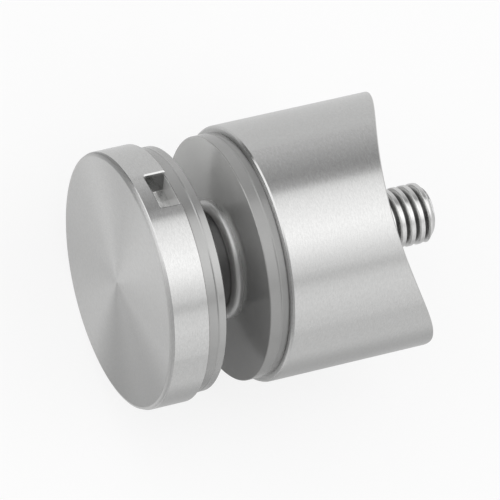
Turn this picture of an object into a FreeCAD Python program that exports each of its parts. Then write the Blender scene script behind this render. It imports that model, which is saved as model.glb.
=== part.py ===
import FreeCAD, Part
import math
import os

# Point fixing that holds a drilled glass panel at a distance from a round post.
# The origin lies on the standoff's axis, at the bottom of the saddle that seats on the post.
# +Y runs from the glass to the post, +Z runs along the post, and all lengths are millimetres.

# Distance body
BODY_DIAMETER = 50.0
SEAT_DISTANCE = 22.8        # gasket face of the body to the bottom of its saddle
POST_DIAMETER = 70.0        # round post that the saddle fits
BODY_FRONT_EASE = 0.5       # size of the eased front edge
SADDLE_EDGE_BEVEL = 0.3
STUD_HOLE_CLEARANCE = 1.0   # radial play of the stud in the body

# Stud, with a rolled thread at each end and a reduced shank between
THREAD_DIAMETER = 11.8
SHANK_DIAMETER = 10.8
STUD_PROJECTION = 17.0      # saddle bottom to the stud's tip
STUD_TIP_BEVEL = 1.2
POST_THREAD_LENGTH = 30.0   # from the tip back
STUD_ENGAGEMENT = 5.5       # stud inside the cap
CAP_THREAD_RUNOUT = 1.0     # thread left showing behind the cap
THREAD_PLAY = 0.02          # radial gap of the locked thread in the cap
THREAD_MOUTH_BEVEL = 0.5

# Cap
CAP_DIAMETER = 50.0
CAP_THICKNESS = 8.0
CAP_FRONT_EASE = 0.8        # size of the eased front edge
CAP_REAR_BEVEL = 0.2
NOTCH_WIDTH = 8.4           # across the spanner notch at the rim
NOTCH_FLOOR_WIDTH = 6.8
NOTCH_LENGTH = 4.4          # from the cap's rear face forward
NOTCH_DEPTH = 5.0           # from the rim inward
NOTCH_CORNER_ROUND = 0.5
NOTCH_EDGE_BEVEL = 0.25     # along the rim edges of the notch's two walls
NOTCH_ANGLE = 57.6          # about the axis, from -X towards +Z

# Gaskets
GASKET_DIAMETER = 47.6
GASKET_THICKNESS = 4.0
GASKET_EDGE_BEVEL = 0.15
MOULD_LINE_HEIGHT = 0.06    # parting ridge round a gasket's rim
MOULD_LINE_WIDTH = 0.5
MOULD_LINE_OFFSET = 0.4     # from the middle of the rim towards the post

# Glass gap and bush
GLASS_GAP = 9.0
BUSH_DIAMETER = 19.0
BUSH_SHORTFALL = 0.3        # bush shorter than the glass, so that the gaskets grip the glass
BUSH_FOOT_DIAMETER = 23.2
BUSH_FOOT_THICKNESS = 1.7
BUSH_FOOT_ROUND = 1.3
BUSH_STUD_CLEARANCE = 0.4   # radial play of the stud in the bush and the front gasket

# Stations along the axis
BODY_FRONT = -SEAT_DISTANCE
REAR_GASKET_FRONT = BODY_FRONT - GASKET_THICKNESS
FRONT_GASKET_REAR = REAR_GASKET_FRONT - GLASS_GAP
CAP_REAR = FRONT_GASKET_REAR - GASKET_THICKNESS
CAP_FRONT = CAP_REAR - CAP_THICKNESS
STUD_HEAD = CAP_REAR - STUD_ENGAGEMENT

AXIS = FreeCAD.Vector(0, 1, 0)
ORIGIN = FreeCAD.Vector(0, 0, 0)


def turned(outline):
    """Solid of revolution about the Y axis from (radius, station) corners."""
    corners = [FreeCAD.Vector(radius, station, 0) for radius, station in outline]
    face = Part.Face(Part.makePolygon(corners + corners[:1]))
    return face.revolve(ORIGIN, AXIS, 360)


def eased_front(radius, station, size):
    """Corners where a front face meets its rim, eased by two bevels that follow a quarter round."""
    middle = size * (1 - math.sqrt(0.5))
    return [
        (radius - size, station),
        (radius - middle, station + middle),
        (radius, station + size),
    ]


def circles_at(shape, radius, station):
    """Full circular edges about the Y axis with this radius and station."""
    found = []
    for edge in shape.Edges:
        if not isinstance(edge.Curve, Part.Circle):
            continue
        centre = edge.Curve.Center
        on_axis = math.hypot(centre.x, centre.z) < 1e-6
        if on_axis and abs(edge.Curve.Radius - radius) < 1e-6 and abs(centre.y - station) < 1e-6:
            found.append(edge)
    return found


def saddle_body():
    """Turned body, bored for the stud and cut by the post's surface."""
    outer = BODY_DIAMETER / 2
    bore = THREAD_DIAMETER / 2 + STUD_HOLE_CLEARANCE
    post = POST_DIAMETER / 2
    blank = turned([
        (bore, BODY_FRONT),
        *eased_front(outer, BODY_FRONT, BODY_FRONT_EASE),
        (outer, post),
        (bore, post),
    ])
    post_foot = FreeCAD.Vector(0, post, -BODY_DIAMETER)
    round_post = Part.makeCylinder(post, 2 * BODY_DIAMETER, post_foot, FreeCAD.Vector(0, 0, 1))
    body = blank.cut(round_post).removeSplitter()
    saddle_edges = [e for e in body.Edges if not isinstance(e.Curve, (Part.Circle, Part.Line))]
    return body.makeChamfer(SADDLE_EDGE_BEVEL, saddle_edges)


def gasket(rear, bore):
    """Flat ring with bevelled outer edges and a parting ridge, its rear face at this station."""
    outer = GASKET_DIAMETER / 2
    front = rear - GASKET_THICKNESS
    ridge = (front + rear) / 2 + MOULD_LINE_OFFSET
    return turned([
        (bore, front),
        (outer - GASKET_EDGE_BEVEL, front),
        (outer, front + GASKET_EDGE_BEVEL),
        (outer, ridge - MOULD_LINE_WIDTH / 2),
        (outer + MOULD_LINE_HEIGHT, ridge),
        (outer, ridge + MOULD_LINE_WIDTH / 2),
        (outer, rear - GASKET_EDGE_BEVEL),
        (outer - GASKET_EDGE_BEVEL, rear),
        (bore, rear),
    ])


def glass_bush():
    """Sleeve with a rounded foot that stands on the rear gasket."""
    bore = THREAD_DIAMETER / 2 + BUSH_STUD_CLEARANCE
    outer = BUSH_DIAMETER / 2
    foot = BUSH_FOOT_DIAMETER / 2
    front = FRONT_GASKET_REAR + BUSH_SHORTFALL
    shoulder = REAR_GASKET_FRONT - BUSH_FOOT_THICKNESS
    sleeve = turned([
        (bore, front),
        (outer, front),
        (outer, shoulder),
        (foot, shoulder),
        (foot, REAR_GASKET_FRONT),
        (bore, REAR_GASKET_FRONT),
    ])
    return sleeve.makeFillet(BUSH_FOOT_ROUND, circles_at(sleeve, foot, shoulder))


def stud():
    """Stud with both threads at their crest diameter, a reduced shank and a bevelled tip."""
    crest = THREAD_DIAMETER / 2
    shank = SHANK_DIAMETER / 2
    step = crest - shank
    cap_thread_end = CAP_REAR + CAP_THREAD_RUNOUT
    post_thread_start = STUD_PROJECTION - POST_THREAD_LENGTH
    return turned([
        (0, STUD_HEAD),
        (crest, STUD_HEAD),
        (crest, cap_thread_end),
        (shank, cap_thread_end + step),
        (shank, post_thread_start - step),
        (crest, post_thread_start),
        (crest, STUD_PROJECTION - STUD_TIP_BEVEL),
        (crest - STUD_TIP_BEVEL, STUD_PROJECTION),
        (0, STUD_PROJECTION),
    ])


def spanner_notch():
    """Wedge to cut from the cap's rim, open to the rim and to the rear face."""
    rim = CAP_DIAMETER / 2
    floor = rim - NOTCH_DEPTH
    reach = rim + NOTCH_DEPTH
    start = CAP_REAR - NOTCH_LENGTH
    floor_half = NOTCH_FLOOR_WIDTH / 2
    reach_half = NOTCH_WIDTH - floor_half
    outline = [(floor, -floor_half), (reach, -reach_half), (reach, reach_half), (floor, floor_half)]
    corners = [FreeCAD.Vector(-out, start, side) for out, side in outline]
    face = Part.Face(Part.makePolygon(corners + corners[:1]))
    wedge = face.extrude(FreeCAD.Vector(0, 2 * NOTCH_LENGTH, 0))
    front_corners = [
        edge for edge in wedge.Edges
        if all(abs(v.Y - start) < 1e-6 for v in edge.Vertexes)
        and abs(edge.Vertexes[0].X - edge.Vertexes[-1].X) > NOTCH_DEPTH
    ]
    wedge = wedge.makeFillet(NOTCH_CORNER_ROUND, front_corners)
    wedge.rotate(ORIGIN, AXIS, NOTCH_ANGLE)
    return wedge


def notch_wall_edges(shape):
    """Straight rim edges, along the axis, where the notch's walls leave the cap's outer diameter."""
    found = []
    for edge in shape.Edges:
        ends = [v.Point for v in edge.Vertexes]
        on_rim = all(abs(math.hypot(p.x, p.z) - CAP_DIAMETER / 2) < 1e-4 for p in ends)
        if isinstance(edge.Curve, Part.Line) and on_rim and edge.Length < NOTCH_LENGTH:
            found.append(edge)
    return found


def cap():
    """Turned disc with a blind threaded hole behind and a spanner notch in its rim."""
    outer = CAP_DIAMETER / 2
    hole = THREAD_DIAMETER / 2 + THREAD_PLAY
    mouth = hole + THREAD_MOUTH_BEVEL
    disc = turned([
        (0, CAP_FRONT),
        *eased_front(outer, CAP_FRONT, CAP_FRONT_EASE),
        (outer, CAP_REAR - CAP_REAR_BEVEL),
        (outer - CAP_REAR_BEVEL, CAP_REAR),
        (mouth, CAP_REAR),
        (hole, CAP_REAR - THREAD_MOUTH_BEVEL),
        (hole, STUD_HEAD),
        (0, STUD_HEAD),
    ])
    notched = disc.cut(spanner_notch())
    return notched.makeChamfer(NOTCH_EDGE_BEVEL, notch_wall_edges(notched))


def main():
    rear_bore = THREAD_DIAMETER / 2 + STUD_HOLE_CLEARANCE
    front_bore = THREAD_DIAMETER / 2 + BUSH_STUD_CLEARANCE
    pieces = {
        "saddle_body": saddle_body(),
        "rear_gasket": gasket(BODY_FRONT, rear_bore),
        "glass_bush": glass_bush(),
        "front_gasket": gasket(CAP_REAR + GASKET_THICKNESS, front_bore),
        "stud": stud(),
        "cap": cap(),
    }
    os.makedirs("parts", exist_ok=True)
    for name, shape in pieces.items():
        shape.exportStep("parts/" + name + ".step")
        box = shape.BoundBox
        print(name, shape.ShapeType, len(shape.Solids), shape.isValid(), round(shape.Volume, 2),
              [round(v, 2) for v in (box.XMin, box.XMax, box.YMin, box.YMax, box.ZMin, box.ZMax)])


main()
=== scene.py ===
import math

import bpy
import numpy as np
from mathutils import Matrix, Vector


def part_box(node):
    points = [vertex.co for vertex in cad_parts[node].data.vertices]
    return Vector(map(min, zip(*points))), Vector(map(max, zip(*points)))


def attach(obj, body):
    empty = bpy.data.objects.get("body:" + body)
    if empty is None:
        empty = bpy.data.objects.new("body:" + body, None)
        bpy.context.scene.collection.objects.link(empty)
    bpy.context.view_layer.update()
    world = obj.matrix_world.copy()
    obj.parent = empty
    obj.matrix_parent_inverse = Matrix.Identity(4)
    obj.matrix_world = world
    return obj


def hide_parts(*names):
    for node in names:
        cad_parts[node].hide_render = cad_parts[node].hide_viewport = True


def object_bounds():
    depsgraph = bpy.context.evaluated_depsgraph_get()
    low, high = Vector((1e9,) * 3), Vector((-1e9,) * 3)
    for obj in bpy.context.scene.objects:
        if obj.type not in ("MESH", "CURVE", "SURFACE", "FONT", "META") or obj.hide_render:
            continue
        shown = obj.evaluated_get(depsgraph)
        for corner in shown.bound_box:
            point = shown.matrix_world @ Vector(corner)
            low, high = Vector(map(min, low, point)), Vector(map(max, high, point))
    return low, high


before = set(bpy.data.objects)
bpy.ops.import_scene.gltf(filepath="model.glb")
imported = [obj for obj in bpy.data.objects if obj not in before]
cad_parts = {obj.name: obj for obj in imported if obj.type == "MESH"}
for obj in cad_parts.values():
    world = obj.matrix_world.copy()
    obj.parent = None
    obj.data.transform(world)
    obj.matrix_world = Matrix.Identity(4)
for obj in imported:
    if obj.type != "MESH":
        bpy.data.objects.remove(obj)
CAD_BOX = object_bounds()

bl_info = {
    "name": "Glass standoff",
    "version": (1, 0, 0),
    "blender": (4, 5, 0),
    "location": "View3D > Sidebar > Standoff",
    "description": "Finishes, thread and studio for a round glass standoff with a saddle for a post",
    "category": "Object",
}

AXIS = Vector((0.0, 1.0, 0.0))      # the standoff's axis, from the glass to the post

# The steel's finish
FACE_DEPTH = 0.00002                # how far behind an end face its finish still counts
FACE_FADE = 0.0001                  # length over which that finish gives way to the next
EDGE_FADE = 0.0003                  # the same at the end of the cap's eased edge
BRUSHED_STRETCH = 0.80              # how far the gloss of a brushed rim is drawn out
ROLLED_STRETCH = 0.30               # the same for the thread
SCUFF_SHARE = 0.4                   # tone of the scuffs, as a share of the brush marks' tone

# The cap's face, with its painted reflection, and its spanner notch
# The dark wedge and its faint twin are a painted reflection in the tone of the turned face
WEDGE = (0.970, 0.0, -0.242)        # direction of the dark wedge on the face, from its centre
WEDGE_SIDE = 0.50                   # cosine of the angle from there at which the wedge fades out
WEDGE_MIDDLE = 0.98                 # cosine of the angle within which it is darkest
WEDGE_TONE = 0.30                   # how far it darkens the steel
TWIN_TONE = 0.03                    # the same for the faint twin opposite
NOTCH = (-0.536, 0.0, 0.844)        # direction of the notch from the axis
NOTCH_LENGTH = 0.0044               # from the cap's rear face forward
NOTCH_FLOOR = 0.0200                # height of the notch's floor over the axis
# Painted light on the notch's front wall and painted shade on its side walls
NOTCH_LEVELS = (1.25, 0.55)         # shade of the notch's front wall and of its side walls

# The bush's painted shade
# The sleeve is painted dark as shade, and the foot keeps its full colour
SLEEVE_REACH = 0.0096               # radius up to which the sleeve is dark
FOOT_START = 0.0104                 # radius from which the foot has its full colour
SLEEVE_LEVEL = 0.30                 # share of the colour that the sleeve keeps

# The stud's surface
STUD_COLUMNS = 96                   # points round the stud
STUD_RINGS = 780                    # rings of points along the stud
CREST_END = 0.40                    # where the crest ends, as a share of the way to the groove's middle
GROOVE_START = 0.96                 # where the groove's bottom starts, as a share of that way
CREST_FALL = 0.08                   # share of the thread's depth that is a parabola over the whole way
SHARP_ANGLE = math.radians(40.0)    # edges sharper than this stay sharp

# The stage
FLOOR_REACH = 3.0                   # half of the floor's side
SENSOR = 36.0                       # width of the camera's sensor, in the units of its lens
LEAN = math.radians(24.0)           # turn of the soft boxes before the glass, against those behind it
CAMERA_LEVEL = 0.50                 # brightness left where the camera stands
SHADOW_SHARE = 0.20                 # share of the object's shadow that the camera sees
# The floor's glow that the metal sees is painted: a stripe of painted shadow, painted shade, a dark card
GREY_LEVELS = (0.66, 0.61)          # floor's glow behind the glass: below the object, and to the sides
STRIPE_PLACE = 0.045                # x of the middle of the floor's dark stripe
STRIPE_REACH = 0.04                 # how far from there the stripe ends
STRIPE_LEVEL = 0.40                 # share of the glow that its middle keeps
FALL_LEVEL = 0.30                   # floor's glow before the glass, far down the picture
CARD_LEVEL = 0.10                   # share of the glow that the dark card keeps


class StandoffSteel(bpy.types.PropertyGroup):
    """Finish of the turned and brushed steel."""
    colour: bpy.props.FloatVectorProperty(
        name="Steel colour", description="Reflected colour of the stainless steel",
        subtype="COLOR", size=3, min=0.0, max=1.0, default=(0.62, 0.62, 0.615))
    thread_colour: bpy.props.FloatVectorProperty(
        name="Thread colour", description="Reflected colour of the rolled thread",
        subtype="COLOR", size=3, min=0.0, max=1.0, default=(0.72, 0.72, 0.715))
    rim_roughness: bpy.props.FloatProperty(
        name="Rim roughness", description="Roughness of the brushed body and the stud",
        min=0.0, max=1.0, default=0.20)
    cap_rim_roughness: bpy.props.FloatProperty(
        name="Cap rim roughness", description="Roughness of the cap's brushed rim",
        min=0.0, max=1.0, default=0.14)
    face_roughness: bpy.props.FloatProperty(
        name="Face roughness", description="Roughness of the turned end faces",
        min=0.0, max=1.0, default=0.40)
    edge_roughness: bpy.props.FloatProperty(
        name="Edge roughness", description="Roughness of the cap's eased front edge",
        min=0.0, max=1.0, default=0.52)
    edge_length: bpy.props.FloatProperty(
        name="Edge length", description="Length of the cap's eased front edge along the axis",
        subtype="DISTANCE", unit="LENGTH", min=0.0, max=0.003, default=0.0008)
    mark_width: bpy.props.FloatProperty(
        name="Brush mark width", description="Width of a brush mark, along the axis",
        subtype="DISTANCE", unit="LENGTH", min=0.00002, max=0.002, default=0.00024)
    mark_length: bpy.props.FloatProperty(
        name="Brush mark length", description="Length of a brush mark, round the axis",
        subtype="DISTANCE", unit="LENGTH", min=0.0002, max=0.02, default=0.0008)
    mark_depth: bpy.props.FloatProperty(
        name="Brush mark depth", description="Height of the brush marks",
        subtype="DISTANCE", unit="LENGTH", min=0.0, max=0.0001, default=0.0000011)
    mark_tone: bpy.props.FloatProperty(
        name="Brush mark tone", description="How far the marks lighten and darken the steel",
        min=0.0, max=0.4, default=0.072)


class StandoffPlastic(bpy.types.PropertyGroup):
    """Finish of the gaskets and the bush."""
    gasket_colour: bpy.props.FloatVectorProperty(
        name="Gasket colour", description="Colour of the grey gaskets",
        subtype="COLOR", size=3, min=0.0, max=1.0, default=(0.41, 0.41, 0.405))
    # Painted shade: the same plastic as the front gasket, coloured darker as its shade beside the body
    rear_gasket_shaded_colour: bpy.props.FloatVectorProperty(
        name="Rear gasket colour", description="Colour of the gasket on the body, a shade darker",
        subtype="COLOR", size=3, min=0.0, max=1.0, default=(0.33, 0.33, 0.325))
    gasket_roughness: bpy.props.FloatProperty(
        name="Gasket roughness", description="Roughness of the gaskets",
        min=0.0, max=1.0, default=0.14)
    strip_width: bpy.props.FloatProperty(
        name="Strip width",
        description="Width of the strip between a gasket's parting line and its rear face",
        subtype="DISTANCE", unit="LENGTH", min=0.0, max=0.004, default=0.0015)
    bush_colour: bpy.props.FloatVectorProperty(
        name="Bush colour", description="Colour of the bush round the stud",
        subtype="COLOR", size=3, min=0.0, max=1.0, default=(0.55, 0.55, 0.545))
    bush_roughness: bpy.props.FloatProperty(
        name="Bush roughness", description="Roughness of the bush",
        min=0.0, max=1.0, default=0.31)


class StandoffThread(bpy.types.PropertyGroup):
    """Form of the stud's thread."""
    pitch: bpy.props.FloatProperty(
        name="Pitch", description="Distance between thread crests",
        subtype="DISTANCE", unit="LENGTH", min=0.0005, max=0.004, default=0.002)
    shank_diameter: bpy.props.FloatProperty(
        name="Shank diameter", description="Diameter of the plain shank between the threads",
        subtype="DISTANCE", unit="LENGTH", min=0.002, max=0.02, default=0.0108)
    post_thread: bpy.props.FloatProperty(
        name="Post thread length", description="Length of the thread at the post's end, from the tip",
        subtype="DISTANCE", unit="LENGTH", min=0.005, max=0.06, default=0.030)
    cap_thread: bpy.props.FloatProperty(
        name="Cap thread length", description="Length of the thread at the cap's end, from the head",
        subtype="DISTANCE", unit="LENGTH", min=0.002, max=0.02, default=0.0065)
    depth: bpy.props.FloatProperty(
        name="Thread depth", description="Height of a crest over its groove",
        subtype="DISTANCE", unit="LENGTH", min=0.0, max=0.003, default=0.0011)
    start: bpy.props.FloatProperty(
        name="Thread start", description="Turn of the thread about the axis",
        subtype="ANGLE", unit="ROTATION", min=-3.15, max=6.3, default=math.radians(225.0))
    tip_bevel: bpy.props.FloatProperty(
        name="Tip bevel", description="Bevel at the stud's tip",
        subtype="DISTANCE", unit="LENGTH", min=0.0, max=0.003, default=0.0012)


class StandoffStage(bpy.types.PropertyGroup):
    """Floor, light and camera."""
    floor_colour: bpy.props.FloatVectorProperty(
        name="Floor colour", description="Colour of the plain floor",
        subtype="COLOR", size=3, min=0.0, max=1.0, default=(0.92, 0.92, 0.92))
    tilt: bpy.props.FloatProperty(
        name="View angle", description="Angle between the standoff's axis and the line of sight",
        subtype="ANGLE", unit="ROTATION", min=0.1, max=1.57, default=math.radians(68.55))
    turn: bpy.props.FloatProperty(
        name="Turn",
        description="Turn of the camera round the standoff's axis, away from the post's direction",
        subtype="ANGLE", unit="ROTATION", min=-3.14, max=3.14, default=math.radians(4.93))
    roll: bpy.props.FloatProperty(
        name="Roll", description="Slope of the standoff's axis in the picture",
        subtype="ANGLE", unit="ROTATION", min=-3.14, max=3.14, default=math.radians(12.92))
    distance: bpy.props.FloatProperty(
        name="Distance", description="Camera's distance from the object",
        subtype="DISTANCE", unit="LENGTH", min=0.1, max=10.0, default=1.2)
    picture_width: bpy.props.FloatProperty(
        name="Picture width", description="Width of the view at the object's distance",
        subtype="DISTANCE", unit="LENGTH", min=0.02, max=1.0, default=0.09527)
    shift: bpy.props.FloatVectorProperty(
        name="Shift", description="Place of the picture's centre, right of and above the body's front face",
        subtype="TRANSLATION", unit="LENGTH", size=2, default=(0.002504, 0.000826))


def new_material(name):
    """Empty node material with its output and principled shader."""
    material = bpy.data.materials.new(name)
    material.use_nodes = True
    tree = material.node_tree
    tree.nodes.clear()
    output = tree.nodes.new("ShaderNodeOutputMaterial")
    shader = tree.nodes.new("ShaderNodeBsdfPrincipled")
    tree.links.new(shader.outputs["BSDF"], output.inputs["Surface"])
    return material, tree, shader


def object_position(tree):
    """Object coordinates of the shaded point."""
    return tree.nodes.new("ShaderNodeTexCoord").outputs["Object"]


def scaled(tree, vector, scale):
    """The vector times a scale for each axis."""
    mapping = tree.nodes.new("ShaderNodeMapping")
    mapping.inputs["Scale"].default_value = scale
    tree.links.new(vector, mapping.inputs["Vector"])
    return mapping.outputs["Vector"]


def split_axes(tree, vector):
    """The vector's three numbers, under the names X, Y and Z."""
    node = tree.nodes.new("ShaderNodeSeparateXYZ")
    tree.links.new(vector, node.inputs["Vector"])
    return node.outputs


def noise(tree, vector, detail=2.0, roughness=0.5):
    """Noise at unit scale along the given vector."""
    node = tree.nodes.new("ShaderNodeTexNoise")
    node.inputs["Scale"].default_value = 1.0
    node.inputs["Detail"].default_value = detail
    node.inputs["Roughness"].default_value = roughness
    tree.links.new(vector, node.inputs["Vector"])
    return node.outputs["Fac"]


def mapped(tree, value, low, high, out_low, out_high):
    """Value moved from one range to another, and held there."""
    node = tree.nodes.new("ShaderNodeMapRange")
    node.inputs["From Min"].default_value = low
    node.inputs["From Max"].default_value = high
    node.inputs["To Min"].default_value = out_low
    node.inputs["To Max"].default_value = out_high
    tree.links.new(value, node.inputs["Value"])
    return node.outputs["Result"]


def eased(tree, value, low, high, out_low, out_high):
    """Value moved smoothly from one range to another, and held there."""
    result = mapped(tree, value, low, high, out_low, out_high)
    result.node.interpolation_type = "SMOOTHSTEP"
    return result


def spread(tree, value, out_low, out_high):
    """Noise moved from 0.3 to 0.7, which most of it fills, to another range, and held there."""
    return mapped(tree, value, 0.3, 0.7, out_low, out_high)


def mixed(tree, factor, first, second):
    """The first value where the factor is 0, the second where it is 1, and a blend in between."""
    node = tree.nodes.new("ShaderNodeMix")
    tree.links.new(factor, node.inputs["Factor"])
    tree.links.new(first, node.inputs["A"])
    tree.links.new(second, node.inputs["B"])
    return node.outputs["Result"]


def arithmetic(tree, operation, first, second):
    """One math node on a value and a value or number."""
    node = tree.nodes.new("ShaderNodeMath")
    node.operation = operation
    tree.links.new(first, node.inputs[0])
    if isinstance(second, (int, float)):
        node.inputs[1].default_value = second
    else:
        tree.links.new(second, node.inputs[1])
    return node.outputs["Value"]


def dotted(tree, vector, direction):
    """Length of the vector along a fixed direction."""
    node = tree.nodes.new("ShaderNodeVectorMath")
    node.operation = "DOT_PRODUCT"
    tree.links.new(vector, node.inputs[0])
    node.inputs[1].default_value = direction
    return node.outputs["Value"]


def tinted(tree, colour, amount):
    """The colour made lighter or darker by the amount, which runs round 1."""
    node = tree.nodes.new("ShaderNodeVectorMath")
    node.operation = "SCALE"
    node.inputs[0].default_value = colour
    tree.links.new(amount, node.inputs["Scale"])
    return node.outputs["Vector"]


def bumped(tree, height, distance, shader):
    """Bump of this height on the shader."""
    node = tree.nodes.new("ShaderNodeBump")
    node.inputs["Strength"].default_value = 1.0
    node.inputs["Distance"].default_value = distance
    tree.links.new(height, node.inputs["Height"])
    tree.links.new(node.outputs["Normal"], shader.inputs["Normal"])


def axis_radius(tree, position):
    """Distance of the point from the Y axis, and its station along it."""
    place = split_axes(tree, position)
    squares = [arithmetic(tree, "MULTIPLY", place[name], place[name]) for name in ("X", "Z")]
    return arithmetic(tree, "SQRT", arithmetic(tree, "ADD", *squares), 0.0), place["Y"]


def grain_position(tree, position, radius, station):
    """The point as x, radius plus station, and z, so that a step along the profile is the second number."""
    place = split_axes(tree, position)
    joined = tree.nodes.new("ShaderNodeCombineXYZ")
    tree.links.new(place["X"], joined.inputs["X"])
    tree.links.new(arithmetic(tree, "ADD", radius, station), joined.inputs["Y"])
    tree.links.new(place["Z"], joined.inputs["Z"])
    return joined.outputs["Vector"]


def brushed_steel(name, steel, colour, rim_roughness, stretch, face_end, edge_length=0.0, shade=None):
    """Steel turned and brushed round the Y axis.

    The brush marks are noise over the profile position, long round the axis and narrow along the
    profile, so they run round the rims and in rings on the end faces. The scuffs are a fine noise with
    no direction, as short scratches that cross the marks. Both change the tone and the bump.
    What lies before the station where the face ends has the face's roughness, an eased edge behind it
    has its own, and the rest has the rim's.
    """
    material, tree, shader = new_material(name)
    position = object_position(tree)
    radius, station = axis_radius(tree, position)
    grain = grain_position(tree, position, radius, station)
    along = 1.0 / steel.mark_length
    across = 1.0 / steel.mark_width
    marks = noise(tree, scaled(tree, grain, (along, across, along)), detail=3.0, roughness=0.7)
    scuffs = noise(tree, scaled(tree, position, (2.0 * along,) * 3), detail=3.0, roughness=0.7)
    scuff_tone = SCUFF_SHARE * steel.mark_tone
    tone = arithmetic(
        tree, "ADD",
        spread(tree, marks, -steel.mark_tone, steel.mark_tone),
        spread(tree, scuffs, 1.0 - scuff_tone, 1.0 + scuff_tone))
    # Painted light and shade, where given, multiplies the tone
    if shade is not None:
        tone = arithmetic(tree, "MULTIPLY", tone, shade(tree, position, radius, station))
    tree.links.new(tinted(tree, tuple(colour), tone), shader.inputs["Base Color"])
    edge_roughness = steel.edge_roughness if edge_length else rim_roughness
    finish = mapped(
        tree, station, face_end, face_end + FACE_FADE, steel.face_roughness, edge_roughness)
    if edge_length:
        edge_end = face_end + edge_length
        finish = arithmetic(
            tree, "ADD", finish,
            mapped(tree, station, edge_end - EDGE_FADE, edge_end, 0.0, rim_roughness - edge_roughness))
    roughness = arithmetic(tree, "ADD", spread(tree, marks, -0.02, 0.03), finish)
    tree.links.new(roughness, shader.inputs["Roughness"])
    shader.inputs["Metallic"].default_value = 1.0
    shader.inputs["Anisotropic"].default_value = stretch
    shader.inputs["Anisotropic Rotation"].default_value = 0.25
    tangent = tree.nodes.new("ShaderNodeTangent")
    tangent.direction_type = "RADIAL"
    tangent.axis = "Y"
    tree.links.new(tangent.outputs["Tangent"], shader.inputs["Tangent"])
    bumped(tree, arithmetic(tree, "ADD", marks, scuffs), steel.mark_depth, shader)
    return material


def groove_shade(thread, crest, tip):
    """Makes the painted shade of the thread: full at the crest, nearly so on the tip, a fifth in a groove."""
    def shade(tree, position, radius, station):
        groove = mapped(tree, radius, crest - thread.depth, crest - 0.25 * thread.depth, 0.20, 1.0)
        end = mapped(tree, station, tip - 1.6 * thread.tip_bevel, tip - 0.9 * thread.tip_bevel, 0.0, 0.85)
        return arithmetic(tree, "MAXIMUM", groove, end)
    return shade


def cap_shade(cap_low, cap_high):
    """Makes the painted light and shade of the cap: the wedge on its turned face and the finish of its notch.

    The wedge is a painted reflection: darkest along one direction from the centre, it fades out by 60
    degrees from it and grows weaker towards the centre, and a faint twin lies opposite. The side towards
    the notch is a little lighter, as a painted highlight. The notch is what lies inside the rim on the
    rear part of the cap. Its side walls are dark with painted shade, its front wall is bright with
    painted light, and its floor, the part nearest the axis, is lighter with streaks of noise, partly
    scuff marks and partly painted highlight.
    """
    rim = cap_high.x
    front = cap_low.y
    rear = cap_high.y
    notch_start = rear - NOTCH_LENGTH

    def shade(tree, position, radius, station):
        # Painted reflection: the dark wedge and its faint twin on the turned face
        lean = arithmetic(tree, "DIVIDE", dotted(tree, position, WEDGE), radius)
        wedge = eased(tree, lean, WEDGE_SIDE, WEDGE_MIDDLE, 0.0, -WEDGE_TONE)
        twin = eased(tree, lean, -WEDGE_MIDDLE, -WEDGE_SIDE, -TWIN_TONE, 0.0)
        outwards = mapped(tree, radius, 0.0, rim, 0.62, 1.28)
        wedges = arithmetic(tree, "MULTIPLY", arithmetic(tree, "ADD", wedge, twin), outwards)
        height = dotted(tree, position, NOTCH)
        # Painted highlight: the side towards the notch is a little lighter
        lighter = eased(tree, arithmetic(tree, "DIVIDE", height, radius), 0.20, 0.95, -0.07, 0.02)
        face = mapped(tree, station, front + FACE_DEPTH, front + FACE_FADE, 1.0, 0.0)
        face_tone = arithmetic(tree, "MULTIPLY", arithmetic(tree, "ADD", wedges, lighter), face)
        # The face's tone, with its painted reflection and painted highlight
        turned = arithmetic(tree, "ADD", face_tone, 1.0)
        inside = mapped(tree, radius, rim - 0.0009, rim - 0.0003, 1.0, 0.0)
        behind_start = mapped(tree, station, notch_start - 0.0001, notch_start + 0.0002, 0.0, 1.0)
        before_rear = mapped(tree, station, rear - 0.00008, rear - FACE_DEPTH, 1.0, 0.0)
        notch = arithmetic(
            tree, "MULTIPLY", inside, arithmetic(tree, "MULTIPLY", behind_start, before_rear))
        streaks = noise(tree, scaled(tree, position, (900.0, 4000.0, 900.0)), detail=3.0, roughness=0.7)
        # Painted highlight with scuff streaks on the notch's floor
        floor_scuffs_and_sheen = mapped(tree, streaks, 0.35, 0.65, 1.15, 1.60)
        floor = mapped(tree, height, NOTCH_FLOOR, NOTCH_FLOOR + 0.0002, 1.0, 0.0)
        # Painted light on the front wall, painted shade on the side walls
        walls = mapped(tree, station, notch_start + 0.0001, notch_start + 0.0006, *NOTCH_LEVELS)
        return mixed(tree, notch, turned, mixed(tree, floor, walls, floor_scuffs_and_sheen))
    return shade


def gasket_shade(low, high, strip_width, strip_painted_level, face_painted_levels):
    """Makes the painted light and shade of a gasket: full on its rim, with another level on the strip
    behind the parting line.

    The painted level of its front face runs smoothly from one number, where x is least, to the other,
    where x is greatest.
    """
    strip = high.y - strip_width

    def shade(tree, position, radius, station):
        # Painted light and shade across the front face, and a painted level on the strip
        face = eased(tree, split_axes(tree, position)["X"], low.x, high.x, *face_painted_levels)
        rim = mapped(tree, station, strip, strip + 0.0002, 1.0, strip_painted_level)
        behind_face = mapped(tree, station, low.y + 0.00005, low.y + 0.0001, 0.0, 1.0)
        return mixed(tree, behind_face, face, rim)
    return shade


def sleeve_shade(tree, position, radius, station):
    """Painted shade of the bush: dark on its narrow sleeve, which sits in shade, and full on its foot."""
    return eased(tree, radius, SLEEVE_REACH, FOOT_START, SLEEVE_LEVEL, 1.0)


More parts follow.
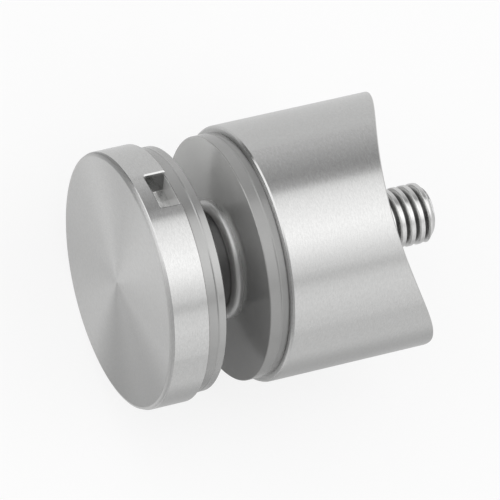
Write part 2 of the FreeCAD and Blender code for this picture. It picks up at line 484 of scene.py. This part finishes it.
def moulded_plastic(name, colour, roughness, metallic, shade=None, face_end=None):
    """Grey moulded plastic filled with metal powder, with a faint mottle and a fine skin grain.

    The mottle is noise with features of a few millimetres, and the skin noise of half a millimetre.
    A front face, before the station where it ends, is matt, without the powder's shine.
    """
    material, tree, shader = new_material(name)
    position = object_position(tree)
    mottle = noise(tree, scaled(tree, position, (150.0, 150.0, 150.0)), detail=3.0)
    skin = noise(tree, scaled(tree, position, (1800.0, 2600.0, 1800.0)), detail=2.0)
    tone = arithmetic(tree, "ADD", spread(tree, mottle, 0.97, 1.03), spread(tree, skin, -0.01, 0.01))
    # Painted light and shade, where given, multiplies the tone
    if shade is not None:
        tone = arithmetic(tree, "MULTIPLY", tone, shade(tree, position, *axis_radius(tree, position)))
    tree.links.new(tinted(tree, tuple(colour), tone), shader.inputs["Base Color"])
    tree.links.new(
        spread(tree, mottle, roughness - 0.04, roughness + 0.04), shader.inputs["Roughness"])
    shader.inputs["Metallic"].default_value = metallic
    if face_end is not None:
        station = split_axes(tree, position)["Y"]
        shine = mapped(tree, station, face_end, face_end + 0.00005, 0.0, metallic)
        tree.links.new(shine, shader.inputs["Metallic"])
    bumped(tree, skin, 0.0000006, shader)
    return material


def dress(node, material):
    """Gives a node of the frame its finish, and leaves its shape as it is."""
    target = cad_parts[node]
    target.data.materials.clear()
    target.data.materials.append(material)


def grid_quads(rows, columns, closed_round):
    """Corner numbers of the quads over a grid, each from a point to the next in its row and the two after."""
    row = np.arange(rows - 1)[:, None]
    column = np.arange(columns if closed_round else columns - 1)[None, :]
    following = (column + 1) % columns
    return np.stack([
        row * columns + column,
        row * columns + following,
        (row + 1) * columns + following,
        (row + 1) * columns + column,
    ], axis=-1).reshape(-1, 4)


def smooth_mesh(name, points, faces):
    """Mesh of these points and faces, smooth except at its sharp edges."""
    mesh = bpy.data.meshes.new(name)
    mesh.from_pydata(points.tolist(), [], faces)
    mesh.shade_smooth()
    mesh.set_sharp_from_angle(angle=SHARP_ANGLE)
    mesh.update()
    return mesh


def smooth_step(low, high, value):
    """Rises from 0 at low to 1 at high as 3 t squared less 2 t cubed."""
    t = np.clip((value - low) / (high - low), 0.0, 1.0)
    return t * t * (3.0 - 2.0 * t)


def thread_radius(angle, station, thread, head, tip, crest):
    """Radius of the stud at an angle and a station.

    Where the thread is, the radius falls from the crest by the depth times a groove shape. That shape
    depends on how far the station less the pitch times the turn is from the middle of a crest: a slight
    parabola all the way, and a smooth step from the crest's end to the groove's bottom. The thread
    fades into the plain shank over half a pitch, and cones bevel the tip and the head.
    """
    turns = station / thread.pitch - (angle + thread.start) / (2 * math.pi)
    from_crest = np.abs(2 * (turns % 1.0) - 1)
    step = smooth_step(CREST_END, GROOVE_START, from_crest)
    groove = (1.0 - CREST_FALL) * step + CREST_FALL * from_crest ** 2
    threaded = crest - thread.depth * groove
    shank = thread.shank_diameter / 2
    cap_end = head + thread.cap_thread
    post_start = tip - thread.post_thread
    run_out = 0.5 * thread.pitch
    past_cap = smooth_step(cap_end, cap_end + run_out, station)
    before_post = 1.0 - smooth_step(post_start - run_out, post_start, station)
    plain = np.where(station < (cap_end + post_start) / 2, past_cap, before_post)
    radius = threaded * (1 - plain) + shank * plain
    tip_cone = crest - thread.tip_bevel + (tip - station)
    head_cone = crest - 0.5 * thread.tip_bevel + (station - head)
    return np.minimum(np.minimum(radius, tip_cone), head_cone)


def threaded_stud_mesh(thread, head, tip, crest):
    """Surface of the stud: the radius above over a grid of angles and stations, closed at both ends.

    Each end is a flat fan of triangles from the ring beside it to one point on the axis.
    """
    stations = np.linspace(head, tip, STUD_RINGS)
    angles = np.linspace(0, 2 * math.pi, STUD_COLUMNS, endpoint=False)
    angle, station = np.meshgrid(angles, stations)
    radius = thread_radius(angle, station, thread, head, tip, crest)
    side = np.stack([radius * np.cos(angle), station, -radius * np.sin(angle)], axis=-1).reshape(-1, 3)
    points = np.concatenate([side, [[0.0, head, 0.0], [0.0, tip, 0.0]]])
    around = np.arange(STUD_COLUMNS)
    following = (around + 1) % STUD_COLUMNS
    last_ring = (STUD_RINGS - 1) * STUD_COLUMNS
    head_centre = np.full(STUD_COLUMNS, len(side))
    tip_centre = np.full(STUD_COLUMNS, len(side) + 1)
    head_fan = np.stack([head_centre, following, around], axis=-1)
    tip_fan = np.stack([tip_centre, last_ring + around, last_ring + following], axis=-1)
    quads = grid_quads(STUD_RINGS, STUD_COLUMNS, True)
    return smooth_mesh("threaded_stud", points, quads.tolist() + head_fan.tolist() + tip_fan.tolist())


class STANDOFF_OT_brushed_body(bpy.types.Operator):
    """Brush the saddle body round its axis"""
    bl_idname = "standoff.brushed_body"
    bl_label = "Brushed body"

    def execute(self, context):
        steel = context.scene.standoff_steel
        face_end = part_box("saddle_body")[0].y + FACE_DEPTH
        material = brushed_steel(
            "body_brushed_steel", steel, steel.colour, steel.rim_roughness, BRUSHED_STRETCH, face_end)
        dress("saddle_body", material)
        return {"FINISHED"}


class STANDOFF_OT_turned_cap(bpy.types.Operator):
    """Turn the cap's face and brush its rim"""
    bl_idname = "standoff.turned_cap"
    bl_label = "Turned cap"

    def execute(self, context):
        steel = context.scene.standoff_steel
        low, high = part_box("cap")
        shade = cap_shade(low, high)
        material = brushed_steel(
            "cap_turned_steel", steel, steel.colour, steel.cap_rim_roughness, BRUSHED_STRETCH,
            low.y + FACE_DEPTH, steel.edge_length, shade)
        dress("cap", material)
        return {"FINISHED"}


class STANDOFF_OT_gaskets(bpy.types.Operator):
    """Finish the two grey gaskets"""
    bl_idname = "standoff.gaskets"
    bl_label = "Gaskets"

    def execute(self, context):
        plastic = context.scene.standoff_plastic
        # For each: its box, its colour, its shine, the levels of painted light and shade on its strip and
        # across its face, and whether that face is matt
        finishes = {
            "front_gasket": (
                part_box("front_gasket"), plastic.gasket_colour, 0.70, 1.08, (1.50, 0.80), True),
            "rear_gasket": (
                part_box("rear_gasket"), plastic.rear_gasket_shaded_colour, 0.35, 0.88, (1.75, 0.66), False),
        }
        for node, (box, colour, shine, strip_painted_level, face_painted_levels, matt_face) in finishes.items():
            low, high = box
            shade = gasket_shade(low, high, plastic.strip_width, strip_painted_level, face_painted_levels)
            face_end = low.y + FACE_DEPTH if matt_face else None
            material = moulded_plastic(
                node + "_plastic", colour, plastic.gasket_roughness, shine, shade, face_end)
            dress(node, material)
        return {"FINISHED"}


class STANDOFF_OT_bush(bpy.types.Operator):
    """Finish the bush round the stud"""
    bl_idname = "standoff.bush"
    bl_label = "Glass bush"

    def execute(self, context):
        plastic = context.scene.standoff_plastic
        material = moulded_plastic(
            "bush_plastic", plastic.bush_colour, plastic.bush_roughness, 0.7, sleeve_shade)
        dress("glass_bush", material)
        return {"FINISHED"}


class STANDOFF_OT_threaded_stud(bpy.types.Operator):
    """Roll the stud's threads over the plain stud"""
    bl_idname = "standoff.threaded_stud"
    bl_label = "Threaded stud"

    def execute(self, context):
        thread = context.scene.standoff_thread
        steel = context.scene.standoff_steel
        low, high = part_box("stud")
        mesh = threaded_stud_mesh(thread, low.y, high.y, high.x)
        stud = bpy.data.objects.new("threaded_stud", mesh)
        context.scene.collection.objects.link(stud)
        shade = groove_shade(thread, high.x, high.y)
        material = brushed_steel(
            "thread_rolled_steel", steel, steel.thread_colour, steel.rim_roughness, ROLLED_STRETCH,
            low.y, shade=shade)
        mesh.materials.append(material)
        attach(stud, "cap_and_stud")
        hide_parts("stud")
        return {"FINISHED"}


def turned_axes(stage):
    """Directions up across the picture and towards the camera, both square to the standoff's axis."""
    above = Vector((-math.cos(stage.turn), 0.0, math.sin(stage.turn)))
    near = Vector((math.sin(stage.turn), 0.0, math.cos(stage.turn)))
    return above, near


# Brightness of the soft boxes against the angle round the axis, in degrees from the camera's side
# towards the upper side of the picture
SOFT_BOXES = (
    (-180, 0.55), (-110, 0.68), (-84, 0.84), (-58, 0.97), (-44, 0.96), (-36, 0.80), (-28, 1.08),
    (-14, 1.34), (-4, 1.44), (6, 1.46), (20, 1.34), (34, 1.20), (42, 1.02), (48, 0.50), (57, 0.36),
    (66, 0.43), (76, 0.53), (86, 0.65), (104, 0.72), (180, 0.55),
)


# The same for the boxes in front of the glass, with the key light above
FRONT_BOXES = (
    (-180, 0.45), (-150, 0.40), (-90, 0.45), (-60, 0.80), (-30, 0.95), (-4, 1.36), (20, 1.40),
    (50, 1.40), (59.4, 1.44), (61.4, 0.10), (110, 0.13), (180, 0.45),
)


def brightness_ramp(tree, share, stops):
    """Brightness against a share of a whole turn, from stops at angles of -180 to 180 degrees."""
    node = tree.nodes.new("ShaderNodeValToRGB")
    elements = node.color_ramp.elements
    for index, (degrees, level) in enumerate(stops):
        place = (degrees + 180) / 360
        element = elements[index] if index < 2 else elements.new(place)
        element.position = place
        element.color = (level, level, level, 1.0)
    tree.links.new(share, node.inputs["Fac"])
    return node.outputs["Color"]


def studio_world(scene, stage):
    """Soft boxes round the standoff's axis, and a dark place where the camera stands.

    The boxes' brightness follows the angle about the axis, by one ramp for directions behind the glass
    and another for those in front of it, where the angle is turned as well. The brightness falls
    smoothly in a round patch on the camera's side. The camera sees the world as plain white.
    """
    world = bpy.data.worlds.new("studio_light")
    world.use_nodes = True
    tree = world.node_tree
    tree.nodes.clear()
    output = tree.nodes.new("ShaderNodeOutputWorld")
    background = tree.nodes.new("ShaderNodeBackground")
    direction = tree.nodes.new("ShaderNodeTexCoord").outputs["Generated"]
    above, near = turned_axes(stage)
    turn = arithmetic(tree, "ARCTAN2", dotted(tree, direction, above), dotted(tree, direction, near))
    backwards = dotted(tree, direction, AXIS)
    lean = eased(tree, backwards, -0.3, 0.15, -LEAN, 0.0)
    share = mapped(tree, arithmetic(tree, "ADD", turn, lean), -math.pi, math.pi, 0.0, 1.0)
    front = eased(tree, backwards, -0.20, 0.05, 1.0, 0.0)
    boxes = mixed(
        tree, front,
        brightness_ramp(tree, share, SOFT_BOXES), brightness_ramp(tree, share, FRONT_BOXES))
    camera_side = -0.42 * above + 0.88 * near - 0.20 * AXIS
    towards_camera = dotted(tree, direction, camera_side.normalized())
    dark = eased(tree, towards_camera, 0.80, 0.97, 1.0, CAMERA_LEVEL)
    total = arithmetic(tree, "MULTIPLY", boxes, dark)
    light = tree.nodes.new("ShaderNodeCombineColor")
    for channel in ("Red", "Green", "Blue"):
        tree.links.new(total, light.inputs[channel])
    seen = tree.nodes.new("ShaderNodeMix")
    seen.data_type = "RGBA"
    tree.links.new(tree.nodes.new("ShaderNodeLightPath").outputs["Is Camera Ray"], seen.inputs["Factor"])
    tree.links.new(light.outputs["Color"], seen.inputs[6])
    seen.inputs[7].default_value = (1.0, 1.0, 1.0, 1.0)
    tree.links.new(seen.outputs[2], background.inputs["Color"])
    tree.links.new(background.outputs["Background"], output.inputs["Surface"])
    scene.world = world


def floor_paper(stage):
    """Paper that is white to the camera and partly grey or dark to the metal, with painted shade.

    The camera sees the glow of white paper with a fifth of the object's shadow. The metal sees half
    glow and half lit paper, and that glow carries painted shade. Behind the glass it is grey, with a
    soft dark stripe of painted shadow on the floor at the lower side of the picture. In front of the
    glass it is white, falls to a third further down on that lower side as painted shade, and a dark
    card is painted on the upper side.
    """
    material, tree, shader = new_material("floor_paper")
    grain = noise(tree, scaled(tree, object_position(tree), (40.0, 40.0, 40.0)))
    tree.links.new(
        tinted(tree, tuple(stage.floor_colour), spread(tree, grain, 0.995, 1.005)),
        shader.inputs["Base Color"])
    shader.inputs["Roughness"].default_value = 0.9
    shader.inputs["Specular IOR Level"].default_value = 0.1
    place = split_axes(tree, object_position(tree))
    aside = arithmetic(tree, "ABSOLUTE", place["X"], 0.0)
    # Painted shadow: a soft dark stripe beside the object, at the lower side of the picture
    past_middle = arithmetic(tree, "SUBTRACT", place["X"], STRIPE_PLACE)
    from_stripe = arithmetic(tree, "ABSOLUTE", past_middle, 0.0)
    stripe = eased(tree, from_stripe, 0.0, STRIPE_REACH, STRIPE_LEVEL, 1.0)
    grey = arithmetic(tree, "MULTIPLY", mapped(tree, aside, 0.02, 0.12, *GREY_LEVELS), stripe)
    # Painted shade: before the glass the glow falls on the lower side
    white = eased(tree, place["X"], 0.035, 0.055, 1.0, FALL_LEVEL)
    ahead = eased(tree, place["Y"], -0.05, -0.035, 1.0, 0.0)
    # Painted dark card on the upper side, seen by the metal only
    card = arithmetic(tree, "MULTIPLY", eased(tree, place["X"], -0.05, -0.035, 1.0, 0.0), ahead)
    level = arithmetic(
        tree, "MULTIPLY", mixed(tree, ahead, grey, white),
        mapped(tree, card, 0.0, 1.0, 1.0, CARD_LEVEL))
    rays = tree.nodes.new("ShaderNodeLightPath")
    seen = arithmetic(tree, "MAXIMUM", rays.outputs["Is Camera Ray"], rays.outputs["Is Transmission Ray"])
    reflected = mapped(tree, card, 0.0, 1.0, 0.50, 0.90)
    share = arithmetic(
        tree, "MAXIMUM", arithmetic(tree, "MULTIPLY", seen, 1.0 - SHADOW_SHARE),
        arithmetic(tree, "MULTIPLY", rays.outputs["Is Glossy Ray"], reflected))
    glow = tree.nodes.new("ShaderNodeEmission")
    glow.inputs["Color"].default_value = (1.0, 1.0, 1.0, 1.0)
    tree.links.new(arithmetic(tree, "MAXIMUM", seen, level), glow.inputs["Strength"])
    mix = tree.nodes.new("ShaderNodeMixShader")
    tree.links.new(share, mix.inputs["Fac"])
    tree.links.new(shader.outputs["BSDF"], mix.inputs[1])
    tree.links.new(glow.outputs["Emission"], mix.inputs[2])
    output = next(node for node in tree.nodes if node.type == "OUTPUT_MATERIAL")
    tree.links.new(mix.outputs["Shader"], output.inputs["Surface"])
    return material


def studio_camera(scene, stage):
    """Camera along the photograph's line of sight, rolled so that the axis rises to the right."""
    above, near = turned_axes(stage)
    away = near * math.sin(stage.tilt) - AXIS * math.cos(stage.tilt)
    along = (AXIS - AXIS.dot(away) * away).normalized()
    right = math.cos(stage.roll) * along - math.sin(stage.roll) * above
    up = math.sin(stage.roll) * along + math.cos(stage.roll) * above
    front = Vector((0.0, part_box("saddle_body")[0].y, 0.0))
    target = front + (right * stage.shift[0] + up * stage.shift[1])
    data = bpy.data.cameras.new("studio_camera")
    data.sensor_width = SENSOR
    data.lens = SENSOR * stage.distance / stage.picture_width
    data.clip_end = 50.0
    camera = bpy.data.objects.new("studio_camera", data)
    frame_axes = Matrix((right, up, away)).transposed()
    camera.matrix_world = Matrix.Translation(target + away * stage.distance) @ frame_axes.to_4x4()
    scene.collection.objects.link(camera)
    scene.camera = camera


class STANDOFF_OT_studio(bpy.types.Operator):
    """Lay the pale floor and set the light and the camera"""
    bl_idname = "standoff.studio"
    bl_label = "Studio"

    def execute(self, context):
        scene = context.scene
        stage = scene.standoff_stage
        scene.view_settings.view_transform = "Standard"
        height = CAD_BOX[0][2]
        reach = np.array([-FLOOR_REACH, FLOOR_REACH])
        across, along = np.meshgrid(reach, reach)
        points = np.stack([across, along, np.full_like(across, height)], axis=-1).reshape(-1, 3)
        mesh = smooth_mesh("studio_floor", points, grid_quads(2, 2, False).tolist())
        floor = bpy.data.objects.new("studio_floor", mesh)
        scene.collection.objects.link(floor)
        mesh.materials.append(floor_paper(stage))
        studio_world(scene, stage)
        studio_camera(scene, stage)
        return {"FINISHED"}


class STANDOFF_PT_panel(bpy.types.Panel):
    """Lists the standoff's pieces in the sidebar"""
    bl_idname = "STANDOFF_PT_panel"
    bl_label = "Glass standoff"
    bl_space_type = "VIEW_3D"
    bl_region_type = "UI"
    bl_category = "Standoff"

    def draw(self, context):
        for group_name, group in GROUPS.items():
            column = self.layout.column()
            for name in group.__annotations__:
                column.prop(getattr(context.scene, group_name), name)
        for operator in PIECE_OPERATORS:
            self.layout.operator(operator.bl_idname)


PIECE_OPERATORS = (
    STANDOFF_OT_brushed_body,
    STANDOFF_OT_turned_cap,
    STANDOFF_OT_gaskets,
    STANDOFF_OT_bush,
    STANDOFF_OT_threaded_stud,
    STANDOFF_OT_studio,
)
GROUPS = {
    "standoff_steel": StandoffSteel,
    "standoff_plastic": StandoffPlastic,
    "standoff_thread": StandoffThread,
    "standoff_stage": StandoffStage,
}


def register():
    for name, group in GROUPS.items():
        bpy.utils.register_class(group)
        setattr(bpy.types.Scene, name, bpy.props.PointerProperty(type=group))
    for operator in PIECE_OPERATORS:
        bpy.utils.register_class(operator)
    bpy.utils.register_class(STANDOFF_PT_panel)


def unregister():
    bpy.utils.unregister_class(STANDOFF_PT_panel)
    for operator in reversed(PIECE_OPERATORS):
        bpy.utils.unregister_class(operator)
    for name, group in reversed(list(GROUPS.items())):
        delattr(bpy.types.Scene, name)
        bpy.utils.unregister_class(group)


def build_standoff():
    """Makes every piece in order."""
    register()
    bpy.ops.standoff.brushed_body()
    bpy.ops.standoff.turned_cap()
    bpy.ops.standoff.gaskets()
    bpy.ops.standoff.bush()
    bpy.ops.standoff.threaded_stud()
    bpy.ops.standoff.studio()


if __name__ == "__main__":
    build_standoff()
